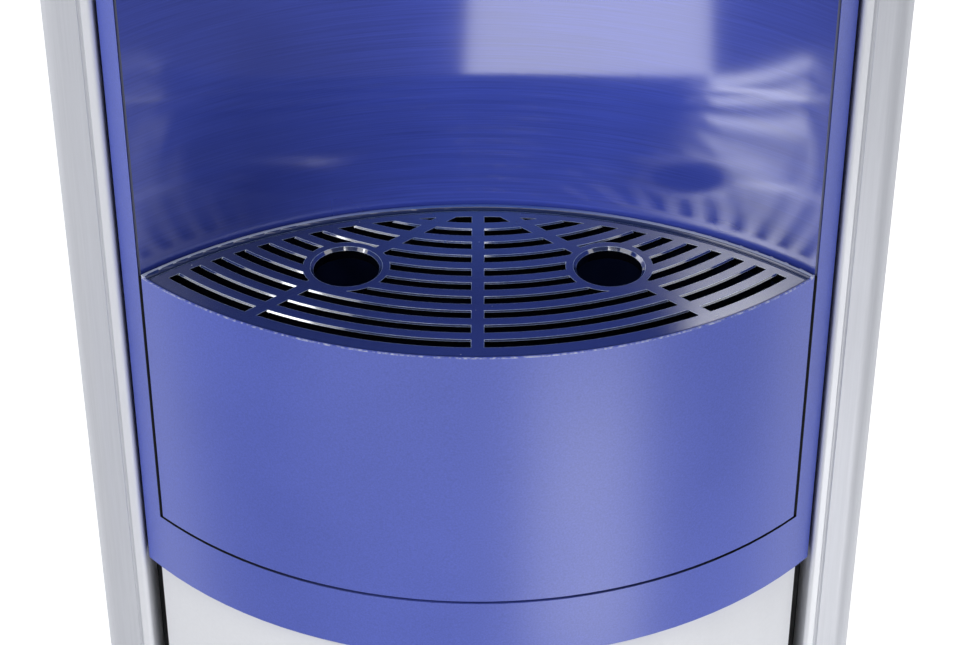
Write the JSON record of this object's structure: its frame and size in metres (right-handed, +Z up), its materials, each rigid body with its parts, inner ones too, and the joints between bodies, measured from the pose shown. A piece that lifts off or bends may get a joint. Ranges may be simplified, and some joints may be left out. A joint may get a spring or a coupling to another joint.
{
  "type": "water cooler",
  "caption": "Free-standing bottle-fed water cooler with silver pillars, a blue curved front, a brushed niche and a pull-out lens-shaped drip tray.",
  "frame": {"origin": "on the floor, under the middle of the body", "axes": "+Z up, -Y out of the front, +X to the right seen from the front"},
  "size_m": [0.323, 0.34, 0.985],
  "materials": {
    "blue_paint": "metallic satin blue paint over moulded plastic",
    "brushed_blue": "blue brushed metal film with a gloss coat",
    "navy_gloss": "dark blue gloss plastic",
    "silver_anodised": "satin silver anodised extrusion",
    "white_paint": "white powder paint",
    "white_plastic": "white moulded plastic",
    "black_rubber": "matt black rubber",
    "black_plastic": "matt black plastic",
    "grey_plastic": "dark grey moulded plastic",
    "black_paint": "black enamel",
    "zinc": "zinc plated sheet",
    "stainless": "drawn stainless steel",
    "copper": "drawn copper",
    "foam": "expanded foam",
    "silicone": "translucent silicone",
    "silver_plastic": "silver plated plastic",
    "red_plastic": "red moulded plastic",
    "blue_plastic": "blue moulded plastic",
    "green_plastic": "green moulded plastic",
    "lens": "tinted lens",
    "board_green": "circuit board"
  },
  "bodies": {
    "cabinet": {"base_pan": "grey_plastic", "feet": "black_rubber", "pillar_left": "silver_anodised", "pillar_right": "silver_anodised", "pillar_seals": "black_rubber", "side_panel_left": "white_paint", "side_panel_right": "white_paint", "rear_panel": "white_paint", "rear_screws": "zinc", "condenser_tube": "black_paint", "condenser_wires": "black_paint", "condenser_brackets": "black_plastic", "compressor": "black_paint", "compressor_grommets": "black_rubber", "filter_drier": "copper", "refrigerant_lines": "copper", "mid_deck": "zinc", "tank_deck": "zinc", "cold_tank": "stainless", "evaporator_jacket": "copper", "insulation": "foam", "baffle": "white_plastic", "hot_tank": "stainless", "heater_band": "zinc", "tap_hoses": "silicone", "feed_hose": "silicone", "drain_spigot": "white_plastic", "mains_inlet": "black_plastic", "switch_housings": "black_plastic", "control_board": "board_green", "indicator_lenses": "lens", "fascia": "blue_paint", "niche_wall": "brushed_blue", "niche_ceiling": "blue_paint", "tray_shelf": "blue_paint", "hinge_pins": "zinc", "door_magnet": "black_plastic", "cabinet_liner": "black_plastic", "top_cover": "white_plastic", "hot_tap_body": "silver_plastic", "cold_tap_body": "silver_plastic", "tap_bonnets": "silver_plastic", "tap_nuts": "black_plastic", "tap_gaskets": "black_rubber"},
    "drip_tray": {"drip_tray": "blue_paint"},
    "drip_grid": {"drip_grid": "navy_gloss"},
    "door": {"door_skin": "white_paint", "door_liner": "white_plastic", "door_strike": "zinc"},
    "hot_lever": {"hot_tap_lever": "red_plastic"},
    "cold_lever": {"cold_tap_lever": "blue_plastic"},
    "hot_stem": {"hot_tap_stem": "zinc", "hot_tap_seal": "silicone"},
    "cold_stem": {"cold_tap_stem": "zinc", "cold_tap_seal": "silicone"},
    "heat_rocker": {"heat_rocker": "red_plastic"},
    "cool_rocker": {"cool_rocker": "green_plastic"},
    "drain_cap": {"drain_cap": "white_plastic"},
    "bottle_collar": {"bottle_collar": "blue_paint", "feed_spike": "white_plastic"}
  },
  "joints": [
    {"name": "tray_slide", "type": "slide", "parent": "cabinet", "child": "drip_tray", "axis": [0, -1, 0], "range_m": [0, 0.17]},
    {"name": "grid_lift", "type": "slide", "parent": "drip_tray", "child": "drip_grid", "axis": [0, 0, 1], "range_m": [0, 0.1]},
    {"name": "door_hinge", "type": "hinge", "parent": "cabinet", "child": "door", "pos_m": [0.129, -0.10637, 0.23], "axis": [0, 0, 1], "range_deg": [0, 90]},
    {"name": "hot_lever", "type": "hinge", "parent": "cabinet", "child": "hot_lever", "pos_m": [-0.0516, -0.11376, 0.8042], "axis": [1, 0, 0], "range_deg": [0, 18], "stiffness_Nm_per_rad": 0.6, "springref_deg": -5.73},
    {"name": "cold_lever", "type": "hinge", "parent": "cabinet", "child": "cold_lever", "pos_m": [0.0516, -0.11376, 0.8042], "axis": [1, 0, 0], "range_deg": [0, 18], "stiffness_Nm_per_rad": 0.6, "springref_deg": -5.73},
    {"name": "hot_stem", "type": "slide", "parent": "cabinet", "child": "hot_stem", "axis": [0, 0, 1], "range_m": [0, 0.002], "deforming": ["hot_tap_seal"]},
    {"name": "cold_stem", "type": "slide", "parent": "cabinet", "child": "cold_stem", "axis": [0, 0, 1], "range_m": [0, 0.002], "deforming": ["cold_tap_seal"]},
    {"name": "heat_switch", "type": "hinge", "parent": "cabinet", "child": "heat_rocker", "pos_m": [0.067, 0.1471, 0.298], "axis": [1, 0, 0], "range_deg": [-16, 0]},
    {"name": "cool_switch", "type": "hinge", "parent": "cabinet", "child": "cool_rocker", "pos_m": [0.101, 0.1471, 0.298], "axis": [1, 0, 0], "range_deg": [-16, 0]},
    {"name": "drain_cap_turn", "type": "hinge", "parent": "cabinet", "child": "drain_cap", "pos_m": [0, 0.158, 0.4581], "axis": [0, 1, 0], "continuous": true},
    {"name": "collar_lift", "type": "slide", "parent": "cabinet", "child": "bottle_collar", "axis": [0, 0, 1], "range_m": [0, 0.1]}
  ],
  "couplings": [
    {"joint": "hot_stem", "follows": "hot_lever", "m_per_rad": 0.006},
    {"joint": "cold_stem", "follows": "cold_lever", "m_per_rad": 0.006}
  ]
}
